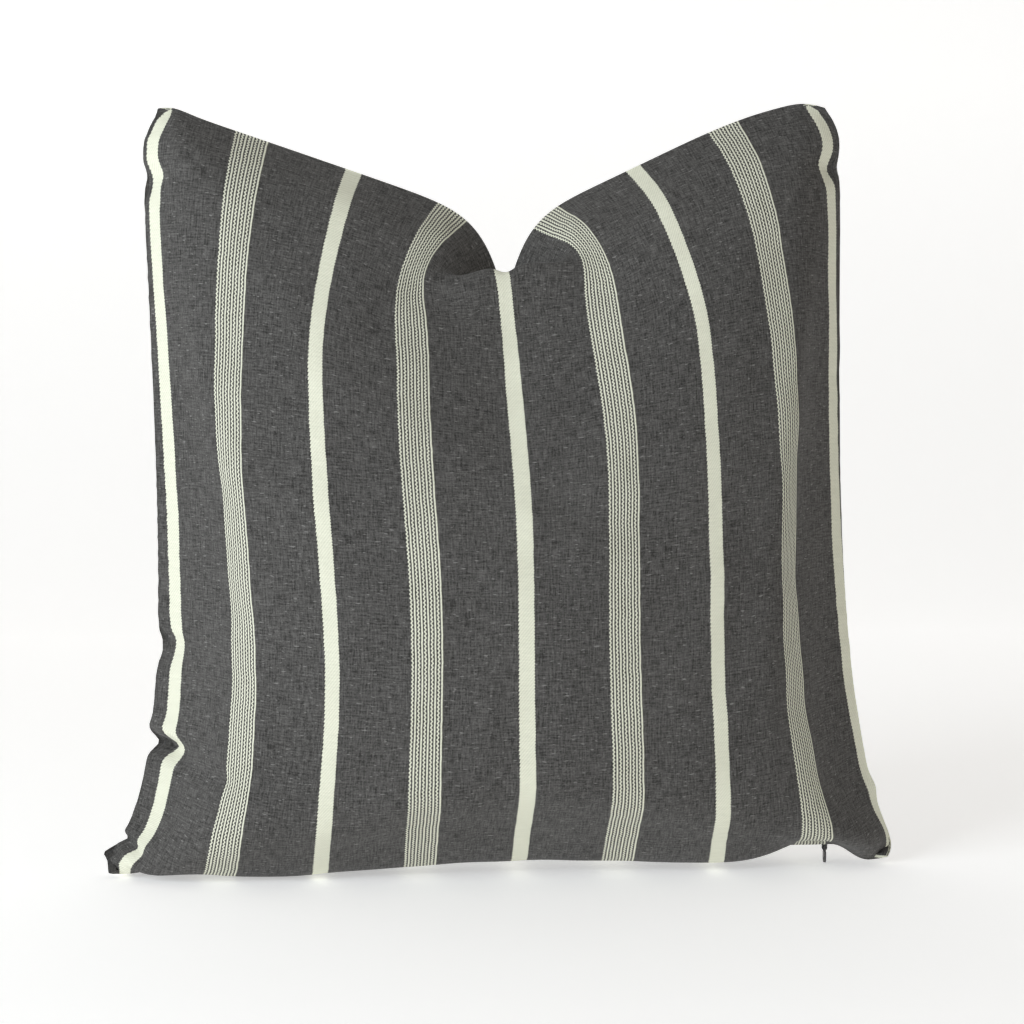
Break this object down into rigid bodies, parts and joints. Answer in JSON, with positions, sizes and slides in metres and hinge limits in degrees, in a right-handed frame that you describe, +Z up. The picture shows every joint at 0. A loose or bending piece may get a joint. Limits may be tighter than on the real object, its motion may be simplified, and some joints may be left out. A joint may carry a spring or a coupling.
{
  "type": "throw pillow",
  "caption": "Square striped throw pillow with a chopped top, standing up; zipped cover over a sewn, filled insert; the zipper slider travels and its pull swings.",
  "frame": {"origin": "on the supporting surface, under the middle of the pillow", "axes": "+Z up, +X along the zipper towards its closed end, front of the pillow towards -Y"},
  "size_m": [0.478, 0.1858, 0.474],
  "materials": {
    "striped_fabric": "charcoal chambray-like plain weave with woven cream stripes, matte",
    "sewing_thread": "matte polyester thread",
    "zipper_tape": "woven polyester tape, matte",
    "zipper_coil": "nylon coil, semi-matte",
    "zipper_metal": "dark gunmetal lacquer, satin",
    "insert_shell": "undyed downproof cotton",
    "insert_thread": "white thread",
    "filling": "loose soft filling"
  },
  "bodies": {
    "cover": {"cover_front_panel": "striped_fabric", "cover_back_panel": "striped_fabric", "seam_needle_thread": "sewing_thread", "seam_bobbin_thread": "sewing_thread", "seam_overlock_thread": "sewing_thread", "zipper_tape_front": "zipper_tape", "zipper_tape_back": "zipper_tape", "zipper_coil_front": "zipper_coil", "zipper_coil_back": "zipper_coil", "zipper_stitching_front": "sewing_thread", "zipper_stitching_back": "sewing_thread", "zipper_bottom_stop": "zipper_metal", "zipper_top_stops": "zipper_metal", "insert_front_panel": "insert_shell", "insert_back_panel": "insert_shell", "insert_seam_thread": "insert_thread", "insert_closing_stitch": "insert_thread", "insert_filling": "filling"},
    "slider": {"zipper_slider": "zipper_metal"},
    "pull": {"zipper_pull": "zipper_metal"}
  },
  "joints": [
    {"name": "zipper_slide", "type": "slide", "parent": "cover", "child": "slider", "axis": [1, 0, 0], "range_m": [-0.401, 0]},
    {"name": "pull_swing", "type": "hinge", "parent": "slider", "child": "pull", "pos_m": [0.2022, -0.00815, 0.0099], "axis": [0, 1, 0], "range_deg": [-90, 90]}
  ]
}
